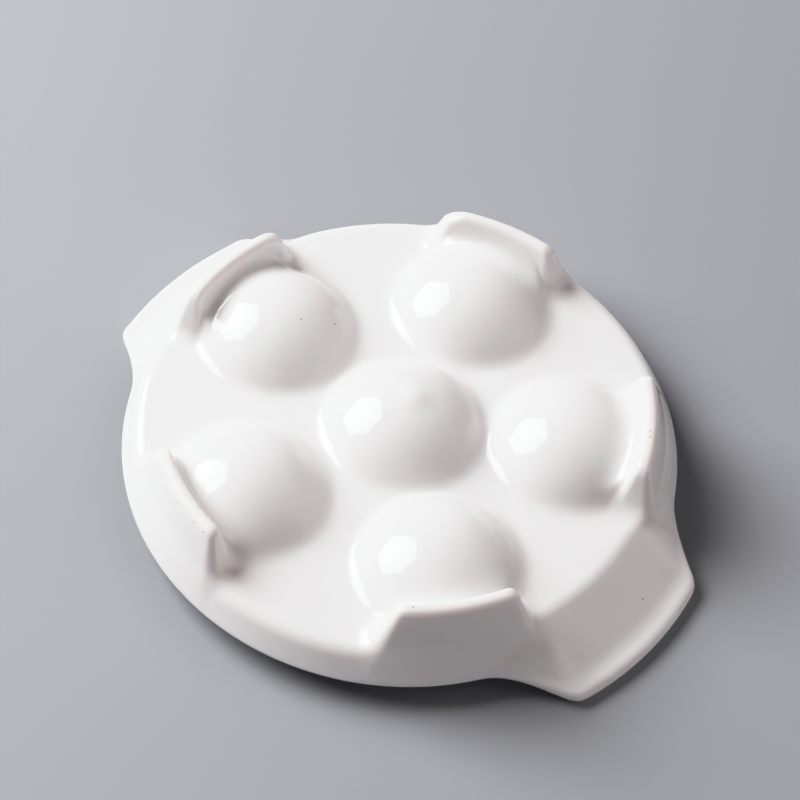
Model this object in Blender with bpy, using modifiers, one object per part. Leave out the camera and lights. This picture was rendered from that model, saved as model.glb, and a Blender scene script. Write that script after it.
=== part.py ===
"""Escargot plate of glazed porcelain, upside down: it lies on the lips of its handles, cups and feet up."""

from math import asin, atan2, cos, hypot, pi, radians, sin, sqrt, tan

import bmesh
import bpy

# Driving dimensions in metres. Heights count from the table that the handles' lips lie on.
SEAM = 0.0003
PORCELAIN = (0.9, 0.885, 0.88, 1.0)
GLAZE_ROUGHNESS = 0.12

# Deck, wall and rim of the shell, and the basin on its other side.
RIM_RADIUS = 0.070
RIM_HEIGHT = 0.0064
RIM_THICKNESS = 0.0024
DECK_HEIGHT = 0.0154
DECK_THICKNESS = 0.0036
DECK_CORNER_RADIUS = 0.0662
DECK_EDGE_ROUND = 0.004
BASIN_CORNER_RADIUS = 0.064
BASIN_EDGE_ROUND = 0.003

# Cups: one in the middle and a ring of five, each the same shell of a sphere.
RING_COUNT = 5
RING_RADIUS = 0.042
RING_FIRST_ANGLE = radians(36)
DOME_BASE_RADIUS = 0.020
DOME_RISE = 0.011
CUP_WALL = 0.0035

# Feet: bands on a circle round the plate's middle, with sloping ends and faces.
FOOT_HEIGHT = 0.028
FOOT_TOP_RADII = (0.0592, 0.0622)
FOOT_BASE_RADII = (0.0578, 0.0650)
FOOT_TOP_HALF_ANGLE = radians(13.3)
FOOT_BASE_HALF_ANGLE = radians(17.3)
FOOT_EDGE_ROUND = 0.0007

# Handles: the wall runs out into a slope with a lip that lies flat on the table.
HANDLE_REACH = 0.082
HANDLE_ROOT_RADIUS = 0.0656
HANDLE_HALF_ANGLE = radians(31.5)
LIP_HALF_ANGLE = radians(16)
LIP_CORNER_ROUND = 0.0022
FLARE_BLEND = 0.6
LIP_THICKNESS = 0.0042
LIP_WIDTHS = (0.0006, 0.0028)
LIP_REST_WIDTHS = (0.0008, 0.0050)

# Fineness of the round shapes.
SHELL_STEPS = 84
CUP_STEPS = 32
CUP_RINGS = 5
FOOT_STEPS = 10
HANDLE_STEPS = 26
EDGE_STEPS = 4
CLEARANCE_STEPS = 40

# Sizes that follow from the ones above.
BASIN_HEIGHT = DECK_HEIGHT - DECK_THICKNESS
RIM_ROUND = RIM_THICKNESS / 2
RIM_ROUND_CENTER = (RIM_RADIUS - RIM_ROUND, RIM_HEIGHT + RIM_ROUND)
DOME_RADIUS = (DOME_BASE_RADIUS**2 + DOME_RISE**2) / (2 * DOME_RISE)
DOME_CENTER_HEIGHT = DECK_HEIGHT + DOME_RISE - DOME_RADIUS
CUP_RADIUS = DOME_RADIUS - CUP_WALL
RING_ANGLES = [RING_FIRST_ANGLE + k * 2 * pi / RING_COUNT for k in range(RING_COUNT)]


def mix(low, high, share):
    """The value at this share of the way from low to high."""
    return low + (high - low) * share


def toward(start, end, share):
    """The point at this share of the way from start to end."""
    return tuple(mix(a, b, share) for a, b in zip(start, end))


def stepped(start, end, length):
    """The point at this length from start, on the way to end."""
    return toward(start, end, length / hypot(end[0] - start[0], end[1] - start[1]))


def soft_min(a, b, blend):
    """The lesser of two values, rounded off over the blend where they cross."""
    near = max(blend - abs(a - b), 0) / blend
    return min(a, b) - near * near * blend / 4


def arc(center, radius, start, end, steps):
    """Points of an arc in the plane of radius and height, both ends included."""
    angles = [mix(start, end, k / steps) for k in range(steps + 1)]
    return [(center[0] + radius * cos(a), center[1] + radius * sin(a)) for a in angles]


def slope_from(corner, side):
    """Lean of a line from the corner that touches the rim's round on its outer (1) or inner (-1) side."""
    out = RIM_ROUND_CENTER[0] - corner[0]
    down = corner[1] - RIM_ROUND_CENTER[1]
    return atan2(out, down) + side * asin(RIM_ROUND / hypot(out, down))


OUTER_LEAN = slope_from((DECK_CORNER_RADIUS, DECK_HEIGHT), 1)
INNER_LEAN = slope_from((BASIN_CORNER_RADIUS, BASIN_HEIGHT), -1)


def edge_arc(corner_radius, height, lean, round_radius, grow=0.0):
    """Round between a level face and the wall below its corner, from the level face down."""
    reach = round_radius * tan((pi / 2 - lean) / 2)
    center = (corner_radius - reach, height - round_radius)
    return arc(center, round_radius + grow, pi / 2, lean, EDGE_STEPS)


def deck_edge(grow=0.0):
    return edge_arc(DECK_CORNER_RADIUS, DECK_HEIGHT, OUTER_LEAN, DECK_EDGE_ROUND, grow)


def basin_edge():
    return edge_arc(BASIN_CORNER_RADIUS, BASIN_HEIGHT, INNER_LEAN, BASIN_EDGE_ROUND)


def cup_radius_at(height):
    """Radius of a cup's inside at a height."""
    return sqrt(CUP_RADIUS**2 - (height - DOME_CENTER_HEIGHT) ** 2)


def clear_scene():
    for obj in list(bpy.data.objects):
        bpy.data.objects.remove(obj, do_unlink=True)


def new_collection(name):
    collection = bpy.data.collections.new(name)
    bpy.context.scene.collection.children.link(collection)
    return collection


def glaze(name):
    """White porcelain under a clear gloss glaze."""
    material = bpy.data.materials.new(name + "_glaze")
    material.use_nodes = True
    material.diffuse_color = PORCELAIN
    shader = material.node_tree.nodes["Principled BSDF"]
    shader.inputs["Base Color"].default_value = PORCELAIN
    shader.inputs["Roughness"].default_value = GLAZE_ROUGHNESS
    shader.inputs["Metallic"].default_value = 0.0
    return material


def add_part(name, mesh, parts, axis, angle=0.0, location=(0, 0, 0)):
    """A piece of the plate, turned about the plate's axis and glazed."""
    obj = bpy.data.objects.new(name, mesh)
    parts.objects.link(obj)
    obj.parent = axis
    obj.location = location
    obj.rotation_euler.z = angle
    obj.data.shade_smooth()
    obj.data.set_sharp_from_angle(angle=radians(35))
    if not mesh.materials:
        mesh.materials.append(None)
    obj.material_slots[0].link = "OBJECT"
    obj.material_slots[0].material = glaze(name)
    return obj


def add_helper(name, mesh, cutters):
    """A shape that only cuts others."""
    obj = bpy.data.objects.new(name, mesh)
    cutters.objects.link(obj)
    obj.hide_render = True
    obj.display_type = "WIRE"
    return obj


def cut(obj, cutter):
    boolean = obj.modifiers.new("less_" + cutter.name, "BOOLEAN")
    boolean.operation = "DIFFERENCE"
    boolean.solver = "EXACT"
    boolean.object = cutter


def turn(obj, steps):
    """Turns an outline in the XZ plane round Z."""
    screw = obj.modifiers.new("turned", "SCREW")
    screw.angle = 2 * pi
    screw.steps = steps
    screw.render_steps = steps
    screw.use_merge_vertices = True
    screw.merge_threshold = 0.00001


def outline(name, points, closed):
    """Mesh of the edges that join points of radius and height in order."""
    edges = [(k, k + 1) for k in range(len(points) - 1)]
    if closed:
        edges.append((len(points) - 1, 0))
    mesh = bpy.data.meshes.new(name)
    mesh.from_pydata([(r, 0, z) for r, z in points], edges, [])
    return mesh


def loft(name, rings):
    """Closed skin over rings of equal length, with a face on the first and the last."""
    model = bmesh.new()
    rows = [[model.verts.new(point) for point in ring] for ring in rings]
    for low, high in zip(rows, rows[1:]):
        for k in range(len(low)):
            model.faces.new((low[k - 1], low[k], high[k], high[k - 1]))
    model.faces.new(rows[0])
    model.faces.new(rows[-1])
    bmesh.ops.recalc_face_normals(model, faces=model.faces)
    mesh = bpy.data.meshes.new(name)
    model.to_mesh(mesh)
    model.free()
    return mesh


def settled(obj, name):
    """Mesh of an object with its modifiers worked in."""
    graph = bpy.context.evaluated_depsgraph_get()
    mesh = bpy.data.meshes.new_from_object(obj.evaluated_get(graph))
    mesh.name = name
    return mesh


def shell_section():
    """Half section of the shell, outwards over the deck, down the wall and back under the basin's floor."""
    rim = arc(RIM_ROUND_CENTER, RIM_ROUND, OUTER_LEAN, -pi + INNER_LEAN, 2 * EDGE_STEPS)
    deck_hole = (cup_radius_at(DECK_HEIGHT), DECK_HEIGHT)
    basin_hole = (cup_radius_at(BASIN_HEIGHT), BASIN_HEIGHT)
    return [deck_hole, *deck_edge(), *rim, *reversed(basin_edge()), basin_hole]


def mouth_cutter(cutters, angle):
    """Cone through the deck that carries a cup's inside down to the basin."""
    upper = cup_radius_at(DECK_HEIGHT)
    lower = cup_radius_at(BASIN_HEIGHT)
    spread = lower - upper
    model = bmesh.new()
    bmesh.ops.create_cone(
        model,
        cap_ends=True,
        segments=CUP_STEPS,
        radius1=lower + spread,
        radius2=upper - spread,
        depth=3 * DECK_THICKNESS,
    )
    mesh = bpy.data.meshes.new("mouth")
    model.to_mesh(mesh)
    model.free()
    cutter = add_helper("mouth_cutter", mesh, cutters)
    middle = (DECK_HEIGHT + BASIN_HEIGHT) / 2
    cutter.location = (RING_RADIUS * cos(angle), RING_RADIUS * sin(angle), middle)
    cutter.rotation_euler.z = angle
    return cutter


def handle_angles(half_angle):
    return [mix(-half_angle, half_angle, k / HANDLE_STEPS) for k in range(HANDLE_STEPS + 1)]


def at_angle(section, angle):
    return [(r * cos(angle), r * sin(angle), z) for r, z in section]


def handle_gap_cutter(cutters, angle):
    """Sector of wall and rim that a handle takes the place of."""
    outer = 2 * HANDLE_REACH
    section = [
        (HANDLE_ROOT_RADIUS, -DECK_HEIGHT),
        (outer, -DECK_HEIGHT),
        (outer, 2 * DECK_HEIGHT),
        (HANDLE_ROOT_RADIUS, 2 * DECK_HEIGHT),
    ]
    rings = [at_angle(section, a) for a in handle_angles(HANDLE_HALF_ANGLE)]
    cutter = add_helper("handle_gap", loft("handle_gap", rings), cutters)
    cutter.rotation_euler.z = angle
    return cutter


def handle_root():
    """Upper and lower point where a handle's section starts, a seam away from the shell."""
    radius = HANDLE_ROOT_RADIUS + SEAM
    round_center = (deck_edge()[0][0], DECK_HEIGHT - DECK_EDGE_ROUND)
    rise = sqrt(DECK_EDGE_ROUND**2 - (radius - round_center[0]) ** 2)
    drop = (radius - BASIN_CORNER_RADIUS) / tan(INNER_LEAN)
    return (radius, round_center[1] + rise), (radius, BASIN_HEIGHT - drop)


def handle_section(angle):
    """Section of a handle at an angle from its middle: the wall's own at the ends, slope and lip between."""
    share = (HANDLE_HALF_ANGLE - abs(angle)) / (HANDLE_HALF_ANGLE - LIP_HALF_ANGLE)
    flare = soft_min(share**2, 1, FLARE_BLEND)
    spread = RIM_RADIUS + (HANDLE_REACH - RIM_RADIUS) * share**2
    reach = soft_min(spread, HANDLE_REACH, LIP_CORNER_ROUND)
    bottom = RIM_HEIGHT * (1 - flare)
    thickness = mix(RIM_THICKNESS, LIP_THICKNESS, flare)
    edge_center = (reach - thickness / 2, bottom + thickness / 2)
    root_top, root_bottom = handle_root()

    lip_width = mix(*LIP_WIDTHS, flare)
    hollow = (edge_center[0] - lip_width, bottom + thickness)
    hollow_start = stepped(hollow, root_top, lip_width / 2)
    hollow_end = (hollow[0] + lip_width / 2, hollow[1])
    hollow_middle = toward(hollow, toward(hollow_start, hollow_end, 0.5), 0.5)
    shoulder = toward(deck_edge()[-1], toward(root_top, hollow_start, 0.3), flare)

    edge_start = mix(OUTER_LEAN, pi / 2, flare)
    edge_end = mix(-pi + INNER_LEAN, -pi / 2, flare)
    edge = arc(edge_center, thickness / 2, edge_start, edge_end, EDGE_STEPS + 2)
    rest_width = mix(*LIP_REST_WIDTHS, flare)
    level_end = (edge_center[0] - rest_width, bottom)
    rest_end = toward(stepped(edge[-1], root_bottom, rest_width), level_end, flare)
    return [root_top, shoulder, hollow_start, hollow_middle, hollow_end, *edge, rest_end, root_bottom]


def foot_ring(height, inset=0.0):
    """Outline of a foot at a height, drawn in by the inset all round."""
    share = (height - DECK_HEIGHT) / (FOOT_HEIGHT - DECK_HEIGHT)
    inner = mix(FOOT_BASE_RADII[0], FOOT_TOP_RADII[0], share) + inset
    outer = mix(FOOT_BASE_RADII[1], FOOT_TOP_RADII[1], share) - inset
    half_angle = mix(FOOT_BASE_HALF_ANGLE, FOOT_TOP_HALF_ANGLE, share) - inset / outer
    angles = [mix(-half_angle, half_angle, k / FOOT_STEPS) for k in range(FOOT_STEPS + 1)]
    outside = [(outer * cos(a), outer * sin(a), height) for a in angles]
    inside = [(inner * cos(a), inner * sin(a), height) for a in reversed(angles)]
    return outside + inside


def deck_clearance(cutters):
    """The deck and the top of its wall, thicker by a seam: what a foot is fitted to."""
    edge = deck_edge(SEAM)
    drop = DECK_THICKNESS
    wall_end = (edge[-1][0] + drop * tan(OUTER_LEAN), edge[-1][1] - drop)
    points = [(0, DECK_HEIGHT + SEAM), *edge, wall_end, (0, wall_end[1])]
    helper = add_helper("deck_clearance", outline("deck_clearance", points, False), cutters)
    turn(helper, SHELL_STEPS)
    return helper


def dome_clearance(cutters):
    """An outer cup's dome, larger by a seam."""
    model = bmesh.new()
    bmesh.ops.create_uvsphere(
        model,
        u_segments=CLEARANCE_STEPS,
        v_segments=CLEARANCE_STEPS // 2,
        radius=DOME_RADIUS + SEAM,
    )
    mesh = bpy.data.meshes.new("dome_clearance")
    model.to_mesh(mesh)
    model.free()
    helper = add_helper("dome_clearance", mesh, cutters)
    helper.location = (RING_RADIUS, 0, DOME_CENTER_HEIGHT)
    return helper


def add_shell(parts, cutters, axis):
    shell = add_part("plate_shell", outline("plate_shell", shell_section(), True), parts, axis)
    turn(shell, SHELL_STEPS)
    for angle in RING_ANGLES:
        cut(shell, mouth_cutter(cutters, angle))
    for angle in (0, pi):
        cut(shell, handle_gap_cutter(cutters, angle))


def cup_section():
    """Half section of a cup, from the dome's top down its outside and up again inside."""
    seat = DECK_HEIGHT + SEAM - DOME_CENTER_HEIGHT
    center = (0, DOME_CENTER_HEIGHT)
    outside = arc(center, DOME_RADIUS, pi / 2, asin(seat / DOME_RADIUS), CUP_RINGS)
    inside = arc(center, CUP_RADIUS, asin(seat / CUP_RADIUS), pi / 2, CUP_RINGS)
    outside[0] = (0, DOME_CENTER_HEIGHT + DOME_RADIUS)
    inside[-1] = (0, DOME_CENTER_HEIGHT + CUP_RADIUS)
    return outside + inside


def add_cups(parts, axis):
    """One cup in the middle and a ring round it."""
    mesh = outline("cup", cup_section(), False)
    places = {"center_well": (0, 0, 0)}
    for number, angle in enumerate(RING_ANGLES, 1):
        places[f"outer_well_{number}"] = (RING_RADIUS * cos(angle), RING_RADIUS * sin(angle), 0)
    for name, place in places.items():
        turn(add_part(name, mesh, parts, axis, location=place), CUP_STEPS)


def add_feet(parts, cutters, axis):
    """A foot fitted to the deck and to its cup, once, and set outside each cup of the ring."""
    rings = [
        foot_ring(DECK_HEIGHT - DECK_THICKNESS / 2),
        foot_ring(FOOT_HEIGHT - FOOT_EDGE_ROUND),
        foot_ring(FOOT_HEIGHT, FOOT_EDGE_ROUND),
    ]
    blank = add_helper("foot_blank", loft("foot_blank", rings), cutters)
    cut(blank, dome_clearance(cutters))
    cut(blank, deck_clearance(cutters))
    mesh = settled(blank, "foot")
    for number, angle in enumerate(RING_ANGLES, 1):
        add_part(f"foot_{number}", mesh, parts, axis, angle)


def add_handles(parts, axis):
    half_angle = HANDLE_HALF_ANGLE - SEAM / HANDLE_ROOT_RADIUS
    rings = [at_angle(handle_section(a), a) for a in handle_angles(half_angle)]
    mesh = loft("handle", rings)
    for name, angle in (("handle_right", 0), ("handle_left", pi)):
        add_part(name, mesh, parts, axis, angle)


def main():
    clear_scene()
    parts = new_collection("escargot_plate")
    cutters = new_collection("cutters")
    axis = bpy.data.objects.new("plate_axis", None)
    parts.objects.link(axis)
    add_shell(parts, cutters, axis)
    add_cups(parts, axis)
    add_feet(parts, cutters, axis)
    add_handles(parts, axis)


main()
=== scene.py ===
"""Looks of an escargot plate: one glazed porcelain casting, lying upside down on its lips."""

from math import atan2, asin, cos, hypot, pi, radians, sin, tan

import bpy
import numpy as np
from bpy.props import FloatProperty, FloatVectorProperty, IntProperty, PointerProperty
from mathutils import Matrix, Vector


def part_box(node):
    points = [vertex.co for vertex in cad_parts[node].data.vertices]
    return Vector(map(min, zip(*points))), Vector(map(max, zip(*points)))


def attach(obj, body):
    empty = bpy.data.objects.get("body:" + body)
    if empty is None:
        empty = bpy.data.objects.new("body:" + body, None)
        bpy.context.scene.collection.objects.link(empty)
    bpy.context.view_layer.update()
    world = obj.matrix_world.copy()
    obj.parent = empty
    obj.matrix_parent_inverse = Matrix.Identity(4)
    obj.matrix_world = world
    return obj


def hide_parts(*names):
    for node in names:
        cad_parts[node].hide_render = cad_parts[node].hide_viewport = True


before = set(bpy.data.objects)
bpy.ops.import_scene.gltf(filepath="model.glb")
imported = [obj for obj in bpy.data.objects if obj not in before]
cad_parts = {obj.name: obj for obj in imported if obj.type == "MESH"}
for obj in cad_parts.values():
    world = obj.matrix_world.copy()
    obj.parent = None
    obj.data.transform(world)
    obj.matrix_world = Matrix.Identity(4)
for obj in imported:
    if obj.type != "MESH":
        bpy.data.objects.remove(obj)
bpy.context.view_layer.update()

bl_info = {
    "name": "Escargot plate",
    "version": (1, 0, 0),
    "blender": (4, 5, 0),
    "location": "View3D > Sidebar > Plate",
    "description": "Throws, shapes and glazes a porcelain escargot plate and sets it on a table",
    "category": "Object",
}

PLATE = "porcelain_plate"
RING = "ring"
SPOKE = "spoke"
# Attribute that marks the fillets for the glaze-pool colour. That colour is partly the thick glaze's tint
# and partly painted light lifting their shade.
POOLED_GLAZE_AND_LIGHT = "pooled_glaze_and_painted_light"

SHELL_LOW, SHELL_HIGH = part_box("plate_shell")
WELL_LOW, WELL_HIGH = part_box("outer_well_3")
WELL_RING = -(WELL_LOW.x + WELL_HIGH.x) / 2
FOOT_LOW, FOOT_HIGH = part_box("foot_1")
HANDLE_LOW, HANDLE_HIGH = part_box("handle_right")


def length(name, description, default):
    """A size that a user would change."""
    return FloatProperty(name=name, description=description, default=default, unit="LENGTH", precision=5)


def angle(name, description, degrees):
    """A turn that a user would change."""
    return FloatProperty(name=name, description=description, default=radians(degrees), subtype="ANGLE")


def share(name, description, default):
    """A share from 0 to 1 that a user would change."""
    return FloatProperty(name=name, description=description, default=default, min=0, max=1, subtype="FACTOR")


def tint(name, description, default):
    """A colour that a user would change."""
    return FloatVectorProperty(name=name, description=description, default=default, size=3, subtype="COLOR")


class BodySizes(bpy.types.PropertyGroup):
    """Deck, wall and rim of the thrown blank."""

    rim_radius: length("Rim radius", "Half the width over the rim", SHELL_HIGH.y)
    rim_height: length("Rim height", "Underside of the rim above the table", 0.0064)
    rim_thickness: length("Rim thickness", "Thickness of the rounded rim", 0.0024)
    deck_height: length("Deck height", "Level deck above the table", SHELL_HIGH.z)
    deck_thickness: length("Deck thickness", "Clay between deck and basin", 0.0036)
    deck_corner: length("Deck corner", "Radius where deck and wall would meet", 0.0662)
    deck_round: length("Deck round", "Rounding between deck and wall", 0.0044)
    basin_corner: length("Basin corner", "Radius where basin floor and wall would meet", 0.064)
    basin_round: length("Basin round", "Rounding between basin floor and wall", 0.003)


class WellSizes(bpy.types.PropertyGroup):
    """Domes of the wells and the cups on their other side."""

    count: IntProperty(name="Outer wells", description="Wells in the ring round the middle one", default=5)
    ring_radius: length("Ring radius", "Middle of the plate to the middle of an outer well", WELL_RING)
    first_angle: angle("First well", "Turn of the first outer well from the right handle", 36)
    dome_base: length("Dome base", "Radius of a dome at the deck", 0.020)
    dome_top: length("Dome top", "Top of a dome above the table", WELL_HIGH.z)
    wall: length("Well wall", "Clay between dome and cup", 0.0035)
    dome_flow: length("Dome fillet", "Width over which a dome runs into the deck", 0.0021)
    mouth_flow: length("Mouth round", "Width over which a cup's mouth is rounded", 0.0015)
    drift: FloatVectorProperty(
        name="Drift",
        description="How far each well, the middle one first, sits from its true place, along +X and +Y",
        default=(0.0, 0.0, 0.0, 0.0, 0.0001, 0.0004, -0.0011, -0.0005, -0.0012, -0.0013, 0.0, 0.0),
        size=12,
        unit="LENGTH",
    )
    knob: FloatVectorProperty(
        name="Knob",
        description="Faint knob near the top of the middle dome, along +X and +Y",
        default=(0.0012, 0.0022),
        size=2,
        unit="LENGTH",
    )
    knob_radius: length("Knob radius", "Radius of the faint knob", 0.0050)
    knob_height: length("Knob height", "Height of the faint knob", 0.0006)


class FootSizes(bpy.types.PropertyGroup):
    """Curved feet outside the ring of wells."""

    height: length("Foot height", "Sole above the table", FOOT_HIGH.z)
    inner_top: length("Inner top", "Radius of the sole's inner edge", 0.0592)
    outer_top: length("Outer top", "Radius of the sole's outer edge", 0.0622)
    inner_base: length("Inner base", "Radius of the inner face at the deck", 0.0578)
    outer_base: length("Outer base", "Radius of the outer face at the deck", 0.0664)
    half_top: angle("Half angle of the sole", "Middle of the foot to the sole's end", 13.3)
    half_base: angle("Half angle at the deck", "Middle of the foot to its end at the deck", 17.3)
    sole_round: length("Sole round", "Rounding along the sole's edges", 0.00125)
    corner_spread: share("Corner spread", "How much rounder the upright corners get towards the deck", 0.13)
    end_rounds: FloatVectorProperty(
        name="End rounds",
        description="Rounding of the sole's two ends, foot by foot",
        default=(0.0025, 0.0020, 0.0022, 0.0050, 0.0045, 0.0022, 0.0040, 0.0016, 0.0016, 0.0022),
        size=10,
        unit="LENGTH",
    )
    sole_shifts: FloatVectorProperty(
        name="Sole shifts",
        description="How much longer each foot's sole is at its two ends",
        default=(0.0, 0.0011, 0.0008, 0.0, 0.0015, 0.0, 0.0, 0.0, 0.0, 0.0),
        size=10,
        unit="LENGTH",
    )
    base_shifts: FloatVectorProperty(
        name="Base shifts",
        description="How much longer each foot is at the deck, at its two ends",
        default=(0.0, 0.0011, 0.0008, 0.0, 0.0015, 0.0, 0.0, 0.0, 0.0016, 0.0),
        size=10,
        unit="LENGTH",
    )
    inner_shifts: FloatVectorProperty(
        name="Inner shifts",
        description="How far each foot's inner face reaches past its true place at the deck",
        default=(0.0026, 0.0014, 0.0006, 0.0, 0.0),
        size=5,
        unit="LENGTH",
    )
    flow: length("Foot fillet", "Width over which a foot runs into the deck", 0.0036)
    wall_flow: length("Foot to wall", "Width over which a foot runs into the wall", 0.0020)
    dome_flow: length("Foot to dome", "Width over which a foot runs into its dome", 0.0060)


class HandleSizes(bpy.types.PropertyGroup):
    """Ears that the wall is pulled out into."""

    reach: length("Reach", "Middle of the plate to the edge of the right lip", HANDLE_HIGH.x)
    left_short: length("Left handle", "How much less far the left lip reaches", 0.0010)
    turns: FloatVectorProperty(
        name="Turns",
        description="How far the right and the left handle sit from the line through the middle",
        default=(radians(-0.8), radians(0.7)),
        size=2,
        subtype="EULER",
    )
    half_angle: angle("Half angle", "Middle of the handle to where the wall starts to run out", 31.5)
    lip_half_angle: angle("Half angle of the lip", "Middle of the handle to the lip's corner", 16)
    corner_round: length("Lip corner", "Rounding of the lip's corners", 0.0022)
    flare_blend: share("Flare blend", "How gently the pulled wall comes to rest on the table", 0.6)
    deck_corner: length("Deck corner", "Radius where deck and slope would meet", 0.0629)
    deck_round: length("Deck round", "Rounding between deck and slope", 0.005)
    lip_thickness: length("Lip thickness", "Thickness of the lip's edge", 0.0044)
    lip_round: length("Lip round", "Rounding of the lip's upper edge", 0.0024)
    lip_width: length("Lip width", "Lip from its edge to the hollow under the slope", 0.0026)
    lip_slope: angle("Lip slope", "Fall of the lip towards its edge", 3)
    hollow_round: length("Hollow round", "Rounding of the hollow between slope and lip", 0.006)
    rest_width: length("Rest width", "Flat underside of the lip", 0.0050)


class GlazeLooks(bpy.types.PropertyGroup):
    """Porcelain body and its glaze."""

    body: tint("Porcelain", "White of the body through the glaze", (0.903, 0.889, 0.890))
    # A lighter, warmer white in the fillets: partly the thick glaze's tint, partly painted light that lifts
    # their shade.
    pooled_and_painted_light: tint("Pooled glaze", "Where the glaze stands thick in hollows", (0.925, 0.898, 0.896))
    bare: tint("Bare clay", "Wiped soles of the feet", (0.885, 0.852, 0.83))
    # Dark dots at the pinholes: partly the dark specks' own colour, partly painted shade of the pits.
    pinhole_speck_and_shade: tint("Pinhole", "Dark bottom of a pinhole in the glaze", (0.38, 0.34, 0.32))
    pinhole_radius: length("Pinhole radius", "Radius of a pinhole in the glaze", 0.00032)
    gloss: share("Glaze roughness", "Roughness of the glaze's surface", 0.015)
    body_roughness: share("Body roughness", "Roughness of the clay under the glaze", 0.5)
    translucency: share("Translucency", "Share of the light that wanders through the clay", 0.8)
    depth: length("Depth of light", "How far light wanders through the clay", 0.002)
    warmth: tint("Warmth", "Colours of the light that wanders furthest", (1.0, 0.8, 0.76))


class StageLooks(bpy.types.PropertyGroup):
    """Table, lights and camera."""

    floor: tint("Table", "Pale grey table", (0.400, 0.424, 0.451))
    key_strength: FloatProperty(name="Key light", description="Strength of the softbox", default=11.4)
    key_edge: share("Key edge", "Share of that strength at the softbox's edge", 0.8)
    key_azimuth: angle("Key azimuth", "Turn of the softbox from the right handle", -164)
    key_elevation: angle("Key elevation", "Height of the softbox over the table", 40)
    key_size: angle("Key size", "Half of the softbox's width, as seen from the plate", 24.5)
    key_distance: length("Key distance", "Plate to softbox", 1.4)
    fill: FloatProperty(name="Fill", description="Strength of the broad fill light", default=0.61)
    right_board: FloatProperty(name="Right board", description="Low reflector on the right", default=0.85)
    front_board: FloatProperty(name="Front board", description="Low reflector in front", default=0.46)
    warm: tint("Warm room", "Colour of the fill and the reflectors", (1.0, 0.985, 0.98))
    back_board: FloatProperty(name="Back board", description="Low reflector behind", default=0.27)
    azimuth: angle("Camera azimuth", "Turn of the camera round the plate", 38.2)
    elevation: angle("Camera elevation", "Height of the camera over the table", 53.78)
    roll: angle("Camera roll", "Lean of the picture", 5.05)
    distance: length("Camera distance", "Camera to target", 0.57465)
    target: FloatVectorProperty(
        name="Target",
        description="Point that the picture is centred on",
        default=(-0.00581, 0.0055, 0.0146),
        subtype="TRANSLATION",
        unit="LENGTH",
    )
    lens: FloatProperty(name="Lens", description="Focal length in millimetres", default=102.64)


GROUPS = {
    "plate_body": BodySizes,
    "plate_wells": WellSizes,
    "plate_feet": FootSizes,
    "plate_handles": HandleSizes,
    "plate_glaze": GlazeLooks,
    "plate_stage": StageLooks,
}


def mix(low, high, amount):
    """The value at this share of the way from low to high."""
    return low + (high - low) * amount


def soft_min(a, b, blend):
    """The lesser of two values, rounded off over the blend where they cross."""
    near = np.maximum(blend - np.abs(a - b), 0) / blend
    return np.minimum(a, b) - near * near * blend / 4


def eased(amount):
    """A smooth step from 0 to 1."""
    amount = np.clip(amount, 0, 1)
    return amount * amount * (3 - 2 * amount)


def rounded_both(a, b, radius):
    """Distance to what lies inside both shapes, given each one's distance, with their edge rounded."""
    outside = np.hypot(np.maximum(a + radius, 0), np.maximum(b + radius, 0))
    return outside + np.minimum(np.maximum(a, b) + radius, 0) - radius


def wrapped(turn):
    """A turn brought between minus and plus half a round."""
    return (turn + pi) % (2 * pi) - pi


# Section of the plate at every spoke. Points are arrays of radius and height, one row for each spoke.

DECK_RINGS = 50
APPROACH_RINGS = 7
FACE_RINGS = 28
SOLE_RINGS = 6
EDGE_RINGS = 18
DECK_ROUND_RINGS = 28
SLOPE_RINGS = 11
HOLLOW_RINGS = 8
LIP_RINGS = 5
UPPER_ROLL_RINGS = 8
LOWER_ROLL_RINGS = 5
REST_RINGS = 4
REST_ROUND_RINGS = 4
INNER_RINGS = 8
BASIN_ROUND_RINGS = 6
BASIN_RINGS = 42
SPOKES = 412

# Distances from the faces of the feet at which the deck's rings change their spacing.
APPROACH = 0.0030
FACE_MARGIN = 0.0008
SOLE_MARGIN = 0.0018

# The least that a corner is cut back, so that no two rings meet.
SHORTEST = 0.0002
# Widths on the plain rim, as a share of those on a handle.
PLAIN_SHARE = 1 / 3
# Rounding of the flat underside's inner edge, as a share of its width.
REST_ROUND_SHARE = 1 / 3


def point(radius, height):
    """Points of the section, one for each spoke."""
    return np.stack(np.broadcast_arrays(radius, height), -1).astype(float)


def unit(vector):
    return vector / np.linalg.norm(vector, axis=-1, keepdims=True)


def straight(start, end, steps):
    """Points from start up to just before end."""
    shares = np.arange(steps)[:, None, None] / steps
    return mix(start[None], end[None], shares)


def corner_cut(before, corner, after, radius):
    """The points where a rounded corner of the section starts and ends."""
    inward = unit(corner - before)
    outward = unit(after - corner)
    turn = np.arccos(np.clip(np.sum(inward * outward, -1, keepdims=True), -1, 1))
    back = np.maximum(radius * np.tan(turn / 2), SHORTEST)
    return corner - back * inward, corner + back * outward


def curve(start, corner, end, steps):
    """Points of the curve that rounds a corner, up to just before its end."""
    shares = np.arange(steps)[:, None, None] / steps
    return mix(mix(start[None], corner[None], shares), mix(corner[None], end[None], shares), shares)


def roll(center, radius, start, end, steps):
    """Points of an arc round a center, up to just before its end."""
    shares = np.arange(steps)[:, None] / steps
    turn = mix(start[None], end[None], shares)
    return center[None] + radius[None, :, None] * np.stack([np.cos(turn), np.sin(turn)], -1)


def lean_to_rim(body, corner_radius, corner_height, side):
    """Lean of a line from a corner that touches the rim's round on its outer (1) or inner (-1) side."""
    half = body.rim_thickness / 2
    out = body.rim_radius - half - corner_radius
    down = corner_height - body.rim_height - half
    return atan2(out, down) + side * asin(half / hypot(out, down))


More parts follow.
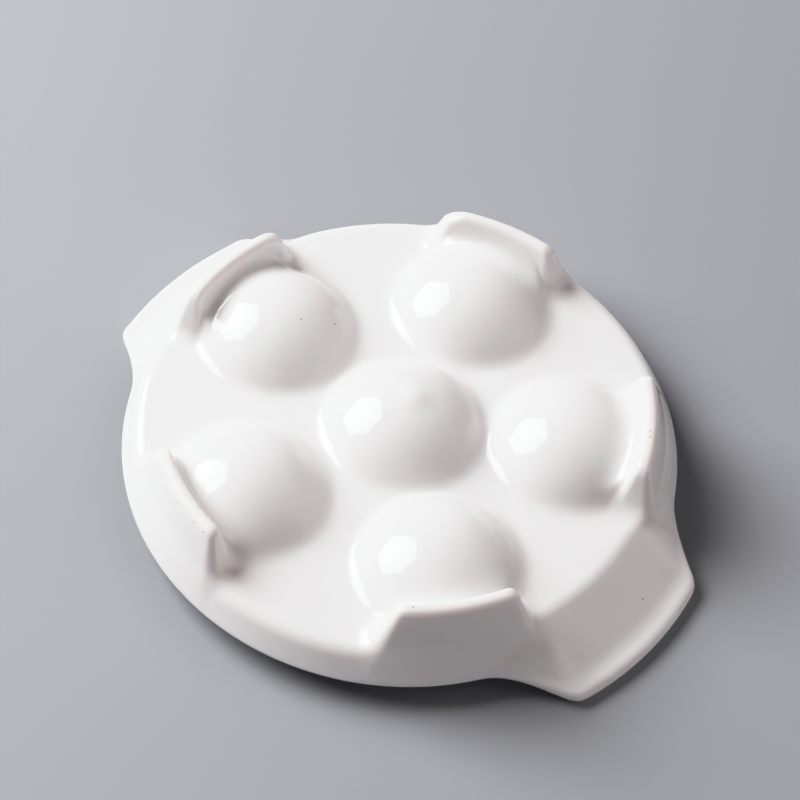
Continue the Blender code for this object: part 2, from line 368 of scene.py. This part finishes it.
def deck_radii(feet):
    """Radii of the rings on the deck, close together where the faces of the feet rise."""
    stops = (
        (0.0, DECK_RINGS),
        (feet.inner_base - APPROACH, APPROACH_RINGS),
        (feet.inner_base - FACE_MARGIN, FACE_RINGS),
        (feet.inner_top + FACE_MARGIN, SOLE_RINGS),
    )
    deck_end = feet.outer_top - SOLE_MARGIN
    ends = [stop for stop, _ in stops[1:]] + [deck_end]
    stretches = [np.linspace(low, high, rings, endpoint=False) for (low, rings), high in zip(stops, ends)]
    return np.concatenate(stretches), deck_end


def plate_section(settings, flare, reach):
    """Rings of every spoke's section, from the top of the middle round the rim and back below."""
    body = settings.plate_body
    feet = settings.plate_feet
    handles = settings.plate_handles
    basin_height = body.deck_height - body.deck_thickness
    plain_fall = pi / 2 - lean_to_rim(body, body.deck_corner, body.deck_height, 1)
    inner_lean = lean_to_rim(body, body.basin_corner, basin_height, -1)

    thickness = mix(body.rim_thickness, handles.lip_thickness, flare)
    bottom = body.rim_height * (1 - flare)
    upper = mix(body.rim_thickness / 2, handles.lip_round, flare)
    lower = thickness - upper
    upper_edge = point(reach - upper, bottom + lower)
    lower_edge = point(reach - lower, bottom + lower)
    fall = mix(plain_fall, handles.lip_slope, flare)
    lip_end = upper_edge + upper[:, None] * point(np.sin(fall), np.cos(fall))
    lip_width = mix(handles.lip_width * PLAIN_SHARE, handles.lip_width, flare)
    hollow = lip_end - lip_width[:, None] * point(np.cos(fall), -np.sin(fall))

    radii, deck_end = deck_radii(feet)
    deck = point(radii[:, None] + 0 * flare[None], body.deck_height)
    last_deck = point(deck_end + 0 * flare, body.deck_height)
    corner = point(mix(body.deck_corner, handles.deck_corner, flare), body.deck_height)
    deck_round = mix(body.deck_round, handles.deck_round, flare)[:, None]
    round_start, round_end = corner_cut(last_deck, corner, hollow, deck_round)
    hollow_start, hollow_end = corner_cut(corner, hollow, lip_end, handles.hollow_round)

    roll_start = pi / 2 - fall
    roll_end = mix(inner_lean - pi, -pi / 2, flare)
    roll_stop = lower_edge + lower[:, None] * point(np.cos(roll_end), np.sin(roll_end))
    basin_corner = point(body.basin_corner + 0 * flare, basin_height)
    up_wall = unit(basin_corner - roll_stop)
    rest_width = mix(handles.rest_width * PLAIN_SHARE, handles.rest_width, flare)[:, None]
    level = point(-1 + 0 * flare, 0)
    rest_end = roll_stop + rest_width * unit(mix(up_wall, level, flare[:, None]))
    middle = point(0 * flare, basin_height)
    rest_from, rest_to = corner_cut(roll_stop, rest_end, basin_corner, rest_width * REST_ROUND_SHARE)
    basin_from, basin_to = corner_cut(rest_end, basin_corner, middle, body.basin_round)

    stretches = (
        ("deck", deck),
        ("deck edge", straight(last_deck, round_start, EDGE_RINGS)),
        ("deck round", curve(round_start, corner, round_end, DECK_ROUND_RINGS)),
        ("slope", straight(round_end, hollow_start, SLOPE_RINGS)),
        ("hollow", curve(hollow_start, hollow, hollow_end, HOLLOW_RINGS)),
        ("lip", straight(hollow_end, lip_end, LIP_RINGS)),
        ("upper roll", roll(upper_edge, upper, roll_start, 0 * flare, UPPER_ROLL_RINGS)),
        ("lower roll", roll(lower_edge, lower, 0 * flare, roll_end, LOWER_ROLL_RINGS)),
        ("rest", straight(roll_stop, rest_from, REST_RINGS)),
        ("rest round", curve(rest_from, rest_end, rest_to, REST_ROUND_RINGS)),
        ("inner slope", straight(rest_to, basin_from, INNER_RINGS)),
        ("basin round", curve(basin_from, basin_corner, basin_to, BASIN_ROUND_RINGS)),
        ("basin", straight(basin_to, middle, BASIN_RINGS)),
        ("middle", middle[None]),
    )
    names = np.concatenate([[name] * len(rings) for name, rings in stretches])
    return np.concatenate([rings for _, rings in stretches]), names


# How much closer together spokes lie at the ends of feet and lips, and over which turns.
FINE_TURNS = 7200
FOOT_CROWD = 4.2
FOOT_CROWD_WIDTH = radians(3.2)
FOOT_CROWD_LEVEL = 0.45
LIP_CROWD = 0.8
LIP_CROWD_WIDTH = radians(4)
LIP_CROWD_SHIFT = radians(2.5)


def crowd_round(turns, place, width):
    """1 within the width of a place and 0 away from it."""
    return np.exp(-((wrapped(turns - place) / width) ** 4))


def spoke_turns(settings):
    """Turn of every spoke, with spokes close together where the feet and the lips end."""
    wells = settings.plate_wells
    feet = settings.plate_feet
    handles = settings.plate_handles
    fine = np.linspace(0, 2 * pi, FINE_TURNS, endpoint=False)
    crowd = np.full(fine.shape, 1.0)
    foot_end = mix(feet.half_base, feet.half_top, FOOT_CROWD_LEVEL)
    lip_end = handles.lip_half_angle + LIP_CROWD_SHIFT
    for side in (-1, 1):
        for middle in ring_turns(wells):
            crowd += FOOT_CROWD * crowd_round(fine, middle + side * foot_end, FOOT_CROWD_WIDTH)
        for middle in (0, pi):
            crowd += LIP_CROWD * crowd_round(fine, middle + side * lip_end, LIP_CROWD_WIDTH)
    summed = np.concatenate([[0], np.cumsum(crowd)])
    wanted = np.arange(SPOKES) / SPOKES * summed[-1]
    return np.interp(wanted, summed, np.append(fine, 2 * pi))


def ring_turns(wells):
    """Turn of every well in the ring."""
    return [wells.first_angle + k * 2 * pi / wells.count for k in range(wells.count)]


def handle_pull(settings, turns):
    """How far each spoke's wall is pulled out: its flare from 0 to 1, and the reach of its edge."""
    body = settings.plate_body
    handles = settings.plate_handles
    right, left = handles.turns
    from_right = np.abs(wrapped(turns - right))
    from_left = np.abs(wrapped(turns - left - pi))
    away = np.minimum(from_right, from_left)
    full_reach = handles.reach - np.where(from_left < from_right, handles.left_short, 0)
    amount = (handles.half_angle - away) / (handles.half_angle - handles.lip_half_angle)
    amount = np.maximum(amount, 0)
    flare = soft_min(amount**2, 1, handles.flare_blend)
    spread = body.rim_radius + (full_reach - body.rim_radius) * amount**2
    return flare, soft_min(spread, full_reach, handles.corner_round)


# Work on the clay. The plate's mesh keeps the ring and the spoke of every vertex.

# A shape grows out of the clay within its reach, and its height is found by halving a span.
REACH = 0.012
HALVINGS = 26
HEADROOM = 0.001
# Heights over and under the deck within which a foot's fillet changes its width.
DOME_EASE = 0.0035
WALL_EASE = 0.0022
SAME_PLACE = 0.000001


def plate_object():
    """The plate that the steps after the first go on working on."""
    plate = bpy.data.objects.get(PLATE)
    if plate is None:
        raise RuntimeError("throw the blank first")
    return plate


def read(mesh, name, dtype):
    """An attribute's value at every vertex."""
    values = np.zeros(len(mesh.vertices), dtype)
    mesh.attributes[name].data.foreach_get("value", values)
    return values


def places(mesh):
    """The place of every vertex."""
    values = np.zeros(len(mesh.vertices) * 3, np.float32)
    mesh.vertices.foreach_get("co", values)
    return values.reshape(-1, 3).astype(float)


def move(mesh, points):
    """Puts every vertex in its place."""
    mesh.vertices.foreach_set("co", points.astype(np.float32).ravel())
    mesh.update()


def levels(mesh):
    """How level the surface is at every vertex, from 0 on a wall to 1 on the deck."""
    values = np.zeros(len(mesh.vertices) * 3, np.float32)
    mesh.vertex_normals.foreach_get("vector", values)
    return np.abs(values.reshape(-1, 3)[:, 2]).astype(float)


def write(mesh, name, values):
    """Keeps a value at every vertex."""
    attribute = mesh.attributes.get(name) or mesh.attributes.new(name, "FLOAT", "POINT")
    attribute.data.foreach_set("value", values.astype(np.float32))


def lay_out(settings, plate, flare, reach, turns):
    """Puts every vertex on its ring and spoke."""
    rings, _ = plate_section(settings, flare, reach)
    mesh = plate.data
    ring = read(mesh, RING, np.int32)
    spoke = read(mesh, SPOKE, np.int32)
    radius, height = rings[ring, spoke].T
    turn = turns[spoke]
    move(mesh, np.stack([radius * np.cos(turn), radius * np.sin(turn), height], -1))


def side_rings(settings, upper):
    """Ring numbers of the side with the domes, or of the side with the cups."""
    still = np.zeros(1)
    _, names = plate_section(settings, still, still + settings.plate_body.rim_radius)
    top = ("deck", "deck edge", "deck round", "slope", "hollow", "lip")
    below = ("inner slope", "basin round", "basin", "middle")
    return np.isin(names, top if upper else below)


def grow(mesh, chosen, ceiling, distance, fillet):
    """Raises the chosen vertices until the shape at this distance is one with the surface, over a fillet."""
    points = places(mesh)
    level = levels(mesh)
    highest = np.minimum(distance(*points.T), distance(points[:, 0], points[:, 1], ceiling))
    near_by = np.flatnonzero(chosen & (highest < REACH))
    level = level[near_by]
    x, y, base = points[near_by].T
    flow = fillet(base)
    low = base.copy()
    high = np.full(base.shape, ceiling)
    for _ in range(HALVINGS):
        height = (low + high) / 2
        inside = soft_min((height - base) * level, distance(x, y, height), flow) < 0
        low = np.where(inside, height, low)
        high = np.where(inside, high, height)
    shape = distance(x, y, high)
    surface = (high - base) * level
    near = np.maximum(flow - np.abs(shape - surface), 0) / flow
    points[near_by, 2] = high
    move(mesh, points)
    # The fillet is marked for the glaze-pool colour, which is partly the thick glaze's tint and partly
    # painted light lifting its shade.
    pooled_and_painted_light = read(mesh, POOLED_GLAZE_AND_LIGHT, np.float32)
    pooled_and_painted_light[near_by] = np.maximum(pooled_and_painted_light[near_by] * (shape > 0), near**2)
    write(mesh, POOLED_GLAZE_AND_LIGHT, pooled_and_painted_light)


def even(width):
    """The same fillet everywhere."""
    return lambda base: np.full(base.shape, width)


def ball(center, radius):
    """Distance to a ball."""

    def distance(x, y, z):
        return np.sqrt((x - center[0]) ** 2 + (y - center[1]) ** 2 + (z - center[2]) ** 2) - radius

    return distance


def foot_shape(settings, middle, inner_shift, end_rounds, sole_shifts, base_shifts):
    """Distance to a foot: a curved bar that narrows to its sole."""
    feet = settings.plate_feet
    deck = settings.plate_body.deck_height
    rise = feet.height - deck
    inner_base = feet.inner_base - inner_shift
    inner_lean = (feet.inner_top - inner_base) / rise
    outer_lean = (feet.outer_base - feet.outer_top) / rise
    center_line = (feet.inner_top + feet.outer_top) / 2

    def distance(x, y, z):
        radius = np.hypot(x, y)
        along = wrapped(np.arctan2(y, x) - middle) * center_line
        up = z - deck
        inner = (inner_base + inner_lean * up - radius) / hypot(1, inner_lean)
        outer = (radius - feet.outer_base + outer_lean * up) / hypot(1, outer_lean)
        half_sole = feet.half_top * center_line + np.where(along < 0, *sole_shifts)
        half_base = feet.half_base * center_line + np.where(along < 0, *base_shifts)
        end_lean = (half_base - half_sole) / rise
        end = (np.abs(along) - half_base + end_lean * up) / np.hypot(1, end_lean)
        end_round = np.where(along < 0, *end_rounds)
        ends = rounded_both(end, z - feet.height, end_round)
        side_round = feet.sole_round + feet.corner_spread * np.maximum(feet.height - z, 0)
        return rounded_both(np.maximum(inner, outer), ends, side_round)

    return distance


def deselect():
    """Leaves nothing selected, so that the next operator acts only on what is added."""
    for obj in bpy.context.selected_objects:
        obj.select_set(False)


class PLATE_OT_throw_blank(bpy.types.Operator):
    """Turns the section of deck, wall, rim and basin into a round blank"""

    bl_idname = "plate.throw_blank"
    bl_label = "Throw the blank"

    def execute(self, context):
        scene = context.scene
        still = np.zeros(1)
        rings, _ = plate_section(scene, still, still + scene.plate_body.rim_radius)
        section = rings[:, 0]
        deselect()
        bpy.ops.mesh.primitive_circle_add(vertices=len(section), radius=scene.plate_body.rim_radius)
        plate = context.active_object
        plate.name = PLATE
        plate.data.name = PLATE
        move(plate.data, np.stack([section[:, 0], 0 * section[:, 0], section[:, 1]], -1))
        plate.data.attributes.new(RING, "INT", "POINT").data.foreach_set("value", np.arange(len(section)))
        bpy.ops.object.mode_set(mode="EDIT")
        bpy.ops.mesh.select_mode(type="EDGE")
        bpy.ops.mesh.select_all(action="DESELECT")
        bpy.ops.object.mode_set(mode="OBJECT")
        for edge in plate.data.edges:
            edge.select = abs(edge.vertices[0] - edge.vertices[1]) > 1
        bpy.ops.object.mode_set(mode="EDIT")
        bpy.ops.mesh.delete(type="EDGE")
        bpy.ops.object.mode_set(mode="OBJECT")
        turn = plate.modifiers.new("turn", "SCREW")
        turn.steps = SPOKES
        turn.render_steps = SPOKES
        bpy.ops.object.modifier_apply(modifier=turn.name)
        bpy.ops.object.mode_set(mode="EDIT")
        bpy.ops.mesh.select_mode(type="VERT")
        bpy.ops.mesh.select_all(action="SELECT")
        bpy.ops.mesh.remove_doubles(threshold=SAME_PLACE)
        bpy.ops.mesh.normals_make_consistent(inside=False)
        bpy.ops.object.mode_set(mode="OBJECT")
        mesh = plate.data
        points = places(mesh)
        spoke = np.rint(np.arctan2(points[:, 1], points[:, 0]) / (2 * pi) * SPOKES).astype(np.int32) % SPOKES
        mesh.attributes.new(SPOKE, "INT", "POINT").data.foreach_set("value", spoke)
        write(mesh, POOLED_GLAZE_AND_LIGHT, np.zeros(len(points)))
        turns = spoke_turns(scene)
        flare = np.zeros(SPOKES)
        lay_out(scene, plate, flare, flare + scene.plate_body.rim_radius, turns)
        return {"FINISHED"}


class PLATE_OT_pull_handles(bpy.types.Operator):
    """Pulls the wall out into two ears whose lips lie on the table"""

    bl_idname = "plate.pull_handles"
    bl_label = "Pull the handles"

    def execute(self, context):
        turns = spoke_turns(context.scene)
        flare, reach = handle_pull(context.scene, turns)
        lay_out(context.scene, plate_object(), flare, reach, turns)
        return {"FINISHED"}


class PLATE_OT_press_wells(bpy.types.Operator):
    """Presses the wells: a cup in the basin and a dome over it on the deck"""

    bl_idname = "plate.press_wells"
    bl_label = "Press the wells"

    def execute(self, context):
        scene = context.scene
        wells = scene.plate_wells
        mesh = plate_object().data
        rise = wells.dome_top - scene.plate_body.deck_height
        dome_radius = (wells.dome_base**2 + rise**2) / (2 * rise)
        center_height = wells.dome_top - dome_radius
        middles = [(0.0, 0.0)]
        middles += [(wells.ring_radius * cos(a), wells.ring_radius * sin(a)) for a in ring_turns(wells)]
        middles = np.array(middles) + np.reshape(wells.drift, (-1, 2))
        ring = read(mesh, RING, np.int32)
        for upper, radius, flow in (
            (True, dome_radius, wells.dome_flow),
            (False, dome_radius - wells.wall, wells.mouth_flow),
        ):
            chosen = side_rings(scene, upper)[ring]
            for x, y in middles:
                ceiling = center_height + radius + HEADROOM
                grow(mesh, chosen, ceiling, ball((x, y, center_height), radius), even(flow))
        points = places(mesh)
        away = np.hypot(points[:, 0] - wells.knob[0], points[:, 1] - wells.knob[1]) / wells.knob_radius
        swell = side_rings(scene, True)[ring] * (1 - np.minimum(away, 1) ** 2) ** 2
        points[:, 2] += wells.knob_height * swell
        move(mesh, points)
        return {"FINISHED"}


class PLATE_OT_raise_feet(bpy.types.Operator):
    """Raises a curved foot outside each well of the ring"""

    bl_idname = "plate.raise_feet"
    bl_label = "Raise the feet"

    def execute(self, context):
        scene = context.scene
        feet = scene.plate_feet
        deck = scene.plate_body.deck_height
        mesh = plate_object().data
        chosen = side_rings(scene, True)[read(mesh, RING, np.int32)]

        def fillet(base):
            on_dome = eased((base - deck) / DOME_EASE)
            on_wall = eased((deck - base) / WALL_EASE)
            return mix(mix(feet.flow, feet.dome_flow, on_dome), feet.wall_flow, on_wall)

        for k, middle in enumerate(ring_turns(scene.plate_wells)):
            ends = slice(2 * k, 2 * k + 2)
            by_end = (feet.end_rounds[ends], feet.sole_shifts[ends], feet.base_shifts[ends])
            shape = foot_shape(scene, middle, feet.inner_shifts[k], *by_end)
            grow(mesh, chosen, feet.height + feet.flow, shape, fillet)
        return {"FINISHED"}


class Wire:
    """A value on its way through the nodes. Sums with it add Math nodes."""

    def __init__(self, bench, socket):
        self.bench = bench
        self.socket = socket

    def __add__(self, other):
        return self.bench.math("ADD", self, other)

    def __radd__(self, other):
        return self.bench.math("ADD", other, self)

    def __sub__(self, other):
        return self.bench.math("SUBTRACT", self, other)

    def __rsub__(self, other):
        return self.bench.math("SUBTRACT", other, self)

    def __mul__(self, other):
        return self.bench.math("MULTIPLY", self, other)

    def __rmul__(self, other):
        return self.bench.math("MULTIPLY", other, self)


class Bench:
    """The nodes of one material, or of the room's light."""

    def __init__(self, owner):
        owner.use_nodes = True
        self.tree = owner.node_tree
        self.tree.nodes.clear()

    def node(self, kind, settings=None, sockets=None, output=0):
        """Adds a node, sets it, then fills or links its sockets, and gives the wire of one output."""
        made = self.tree.nodes.new(kind)
        for name, value in (settings or {}).items():
            setattr(made, name, value)
        for name, value in (sockets or {}).items():
            socket = made.inputs[name]
            if isinstance(value, Wire):
                self.tree.links.new(value.socket, socket)
            else:
                socket.default_value = value
        return Wire(self, made.outputs[output]) if made.outputs else made

    def math(self, operation, first, second):
        return self.node("ShaderNodeMath", {"operation": operation}, {0: first, 1: second})

    def between(self, value, low, high):
        """0 below low, 1 above high and a smooth step between."""
        settings = {"interpolation_type": "SMOOTHSTEP"}
        return self.node("ShaderNodeMapRange", settings, {"Value": value, "From Min": low, "From Max": high})

    def blend(self, amount, first, second):
        """One colour turning into another, in the Mix node's sockets for colours."""
        settings = {"data_type": "RGBA"}
        return self.node("ShaderNodeMix", settings, {"Factor": amount, 6: first, 7: second}, output=2)

    def place(self):
        """Where on the piece a point lies."""
        return self.node("ShaderNodeTexCoord", output=3)

    def noise(self, where, scale, detail):
        """Soft random cloud."""
        return self.node("ShaderNodeTexNoise", sockets={"Vector": where, "Scale": scale, "Detail": detail})

    def attribute(self, name):
        """A value that the mesh keeps."""
        return self.node("ShaderNodeAttribute", {"attribute_name": name}, output=2)


def opaque(color):
    """A colour with nothing showing through it."""
    return (*color, 1.0)


# The glaze is wiped off the soles between these depths below their tops, and this much of it.
WIPED_FROM = 0.0007
WIPED_TO = 0.00015
WIPED_SHARE = 0.75
# Least share of the glaze-pool colour, where the cloud thins it. That colour is lighter and warmer than the
# body and is painted light that lifts the shade in the fillets.
THINNEST_POOL_AND_LIGHT = 0.5
# Flat bottom of a pinhole, as a share of its radius.
PINHOLE_BOTTOM = 0.4
PINHOLES = (
    (-0.0358, 0.0006, 0.0252),
    (-0.0308, 0.0078, 0.0211),
    (-0.0061, 0.0501, 0.0232),
    (0.0731, 0.0068, 0.0074),
    (-0.0075, -0.0621, 0.0268),
    (-0.0179, -0.0602, 0.0261),
    (-0.0111, -0.0616, 0.0267),
    (0.0502, 0.0337, 0.0280),
    (0.0513, 0.0323, 0.0280),
    (0.0420, -0.0436, 0.0280),
)


def glazed_porcelain(looks, feet):
    """White porcelain under a clear gloss glaze, wiped off the soles of the feet, with painted light in the
    fillets and dark pinholes.
    """
    material = bpy.data.materials.new("glazed_porcelain")
    bench = Bench(material)
    where = bench.place()
    height = bench.node("ShaderNodeSeparateXYZ", sockets={0: where}, output=2)
    cloud = bench.noise(where, scale=55.0, detail=3.0)
    grain = bench.noise(where, scale=900.0, detail=2.0)
    pooled_and_painted_light = bench.attribute(POOLED_GLAZE_AND_LIGHT)
    sole = bench.between(height, feet.height - WIPED_FROM, feet.height - WIPED_TO)
    patchy = bench.between(cloud, low=0.35, high=0.65)

    # Glaze-pool colour in the fillets: partly the thick glaze's tint, partly painted light, lighter and
    # warmer than the body to lift their shade.
    thickness = pooled_and_painted_light * mix(THINNEST_POOL_AND_LIGHT, 1.0, patchy)
    color = bench.blend(thickness, opaque(looks.body), opaque(looks.pooled_and_painted_light))
    color = bench.blend(sole, color, opaque(looks.bare))
    # Pinholes: dark dots at the listed places, with no coat of glaze. They are partly dark specks and partly
    # painted shade of the pits.
    nearest = 1.0
    for place in PINHOLES:
        away = bench.node("ShaderNodeVectorMath", {"operation": "DISTANCE"}, {0: where, 1: place}, output=1)
        nearest = bench.math("MINIMUM", away, nearest)
    hole = 1.0 - bench.between(nearest, PINHOLE_BOTTOM * looks.pinhole_radius, looks.pinhole_radius)
    color = bench.blend(hole, color, opaque(looks.pinhole_speck_and_shade))

    ripple = bench.node("ShaderNodeBump", sockets={"Strength": 0.12, "Distance": 0.0004, "Height": cloud})
    pits = bench.node(
        "ShaderNodeBump",
        sockets={"Strength": 0.25, "Distance": 0.0002, "Height": grain * sole, "Normal": ripple},
    )
    shader = bench.node(
        "ShaderNodeBsdfPrincipled",
        sockets={
            "Base Color": color,
            "Roughness": looks.body_roughness,
            "IOR": 1.45,
            "Specular IOR Level": 0.0,
            "Subsurface Weight": looks.translucency,
            "Subsurface Radius": looks.warmth,
            "Subsurface Scale": looks.depth,
            "Coat Weight": (1.0 - WIPED_SHARE * sole) * (1.0 - hole),
            "Coat Roughness": looks.gloss,
            "Coat IOR": 1.56,
            "Normal": pits,
        },
    )
    bench.node("ShaderNodeOutputMaterial", sockets={"Surface": shader})
    return material


class PLATE_OT_glaze(bpy.types.Operator):
    """Glazes the plate and sets it in the place of the separate pieces"""

    bl_idname = "plate.glaze"
    bl_label = "Glaze the plate"

    def execute(self, context):
        scene = context.scene
        plate = plate_object()
        deselect()
        plate.select_set(True)
        context.view_layer.objects.active = plate
        bpy.ops.object.shade_smooth()
        plate.data.materials.append(glazed_porcelain(scene.plate_glaze, scene.plate_feet))
        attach(plate, "root")
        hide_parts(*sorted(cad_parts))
        return {"FINISHED"}


# Azimuth and elevation of each of the room's lights in degrees, and how narrow it is.
FILL_LIGHT = (22, 40, 5)
RIGHT_LIGHT = (48, 14, 8)
FRONT_LIGHT = (-52, 8, 8)
BACK_LIGHT = (128, 8, 8)

TABLE_RADIUS = 4.0
TABLE_CORNERS = 96
TABLE_SHADE = 0.97
SOFTBOX_CORNERS = 6
# The softbox dims between these shares of its radius.
GLOW_FROM = 0.30
GLOW_TO = 0.62


def table_top(looks):
    """Pale matt table with a faint cloud in its grey."""
    material = bpy.data.materials.new("pale_table")
    bench = Bench(material)
    where = bench.place()
    cloud = bench.noise(where, scale=9.0, detail=2.0)
    base = opaque(looks.floor)
    darker = opaque([TABLE_SHADE * channel for channel in looks.floor])
    shader = bench.node(
        "ShaderNodeBsdfPrincipled",
        sockets={
            "Base Color": bench.blend(cloud, base, darker),
            "Roughness": 0.6,
            "Specular IOR Level": 0.2,
        },
    )
    bench.node("ShaderNodeOutputMaterial", sockets={"Surface": shader})
    return material


def softbox_glow(looks, radius):
    """Light of the softbox, brightest round the lamp in its middle."""
    material = bpy.data.materials.new("softbox_glow")
    bench = Bench(material)
    where = bench.place()
    from_middle = bench.node("ShaderNodeVectorMath", {"operation": "LENGTH"}, {0: where}, output=1)
    outside = bench.between(from_middle, GLOW_FROM * radius, GLOW_TO * radius)
    color = bench.blend(outside, (1, 1, 1, 1), opaque([looks.key_edge] * 3))
    glow = bench.node("ShaderNodeEmission", sockets={"Color": color, "Strength": looks.key_strength})
    bench.node("ShaderNodeOutputMaterial", sockets={"Surface": glow})
    return material


def room_light(looks):
    """Soft light from the room: a broad fill and low reflectors, each fading away from its middle."""
    world = bpy.data.worlds.new("studio")
    bpy.context.scene.world = world
    bench = Bench(world)
    where = bench.node("ShaderNodeTexCoord", output=0)
    light = 0.0
    for strength, (azimuth, elevation, focus) in (
        (looks.fill, FILL_LIGHT),
        (looks.right_board, RIGHT_LIGHT),
        (looks.front_board, FRONT_LIGHT),
        (looks.back_board, BACK_LIGHT),
    ):
        aim = toward(radians(azimuth), radians(elevation))
        settings = {"operation": "DOT_PRODUCT"}
        facing = bench.node("ShaderNodeVectorMath", settings, {0: where, 1: aim}, output=1)
        lobe = bench.math("POWER", bench.math("MAXIMUM", facing, 0.0), focus)
        light = strength * lobe + light
    glow = bench.node("ShaderNodeBackground", sockets={"Color": opaque(looks.warm), "Strength": light})
    bench.node("ShaderNodeOutputWorld", sockets={"Surface": glow})


def toward(azimuth, elevation):
    """Unit vector at a turn from +X and a height over the table."""
    return Vector((cos(azimuth) * cos(elevation), sin(azimuth) * cos(elevation), sin(elevation)))


# Points of the film's curve, from light to print, and one that makes its whites a little warmer.
FILM = ((0.0, 0.0), (0.08, 0.04), (0.76, 0.72), (1.0, 0.86), (1.42, 0.935), (1.8, 1.0))
WARMER_RED = (0.8, 0.817)


def set_film(view):
    """Response of the picture to light, gentle towards white so that lit porcelain keeps its form."""
    view.view_transform = "Standard"
    view.use_curve_mapping = True
    film = view.curve_mapping
    film.clip_max_x = FILM[-1][0]
    points = film.curves[3].points
    points[-1].location = FILM[-1]
    for place in FILM[1:-1]:
        points.new(*place)
    film.curves[0].points.new(*WARMER_RED)
    film.update()


class PLATE_OT_set_stage(bpy.types.Operator):
    """Sets the table, the softbox, the room's light and the camera"""

    bl_idname = "plate.set_stage"
    bl_label = "Set the stage"

    def execute(self, context):
        looks = context.scene.plate_stage
        deselect()
        bpy.ops.mesh.primitive_circle_add(vertices=TABLE_CORNERS, radius=TABLE_RADIUS, fill_type="NGON")
        table = context.active_object
        table.name = "table"
        table.data.materials.append(table_top(looks))

        deselect()
        aim = toward(looks.key_azimuth, looks.key_elevation)
        radius = looks.key_distance * tan(looks.key_size)
        bpy.ops.mesh.primitive_circle_add(
            vertices=SOFTBOX_CORNERS,
            radius=radius,
            fill_type="NGON",
            location=aim * looks.key_distance,
            rotation=aim.to_track_quat("Z", "Y").to_euler(),
        )
        softbox = context.active_object
        softbox.name = "softbox"
        softbox.visible_camera = False
        softbox.data.materials.append(softbox_glow(looks, radius))
        room_light(looks)

        lens = bpy.data.cameras.new("camera")
        lens.lens = looks.lens
        lens.sensor_width = 36.0
        lens.clip_end = 100.0
        camera = bpy.data.objects.new("camera", lens)
        context.scene.collection.objects.link(camera)
        back = toward(looks.azimuth - pi / 2, looks.elevation)
        right = Vector((0, 0, 1)).cross(back).normalized()
        turn = Matrix((right, back.cross(right), back)).transposed().to_4x4()
        camera.matrix_world = (
            Matrix.Translation(Vector(looks.target) + looks.distance * back)
            @ turn
            @ Matrix.Rotation(looks.roll, 4, "Z")
        )
        context.scene.camera = camera
        set_film(context.scene.view_settings)
        return {"FINISHED"}


OPERATORS = (
    PLATE_OT_throw_blank,
    PLATE_OT_pull_handles,
    PLATE_OT_press_wells,
    PLATE_OT_raise_feet,
    PLATE_OT_glaze,
    PLATE_OT_set_stage,
)


class PLATE_PT_workshop(bpy.types.Panel):
    """Steps of the plate's making and the sizes that they follow"""

    bl_idname = "PLATE_PT_workshop"
    bl_label = "Escargot plate"
    bl_space_type = "VIEW_3D"
    bl_region_type = "UI"
    bl_category = "Plate"

    def draw(self, context):
        layout = self.layout
        for operator in OPERATORS:
            layout.operator(operator.bl_idname)
        for name, group in GROUPS.items():
            box = layout.box()
            box.label(text=group.__doc__)
            for field in group.__annotations__:
                box.prop(getattr(context.scene, name), field)


CLASSES = (*GROUPS.values(), *OPERATORS, PLATE_PT_workshop)


def register():
    for cls in CLASSES:
        bpy.utils.register_class(cls)
    for name, group in GROUPS.items():
        setattr(bpy.types.Scene, name, PointerProperty(type=group))


def unregister():
    for name in GROUPS:
        delattr(bpy.types.Scene, name)
    for cls in reversed(CLASSES):
        bpy.utils.unregister_class(cls)


def main():
    register()
    bpy.ops.plate.throw_blank()
    bpy.ops.plate.pull_handles()
    bpy.ops.plate.press_wells()
    bpy.ops.plate.raise_feet()
    bpy.ops.plate.glaze()
    bpy.ops.plate.set_stage()


if __name__ == "__main__":
    main()
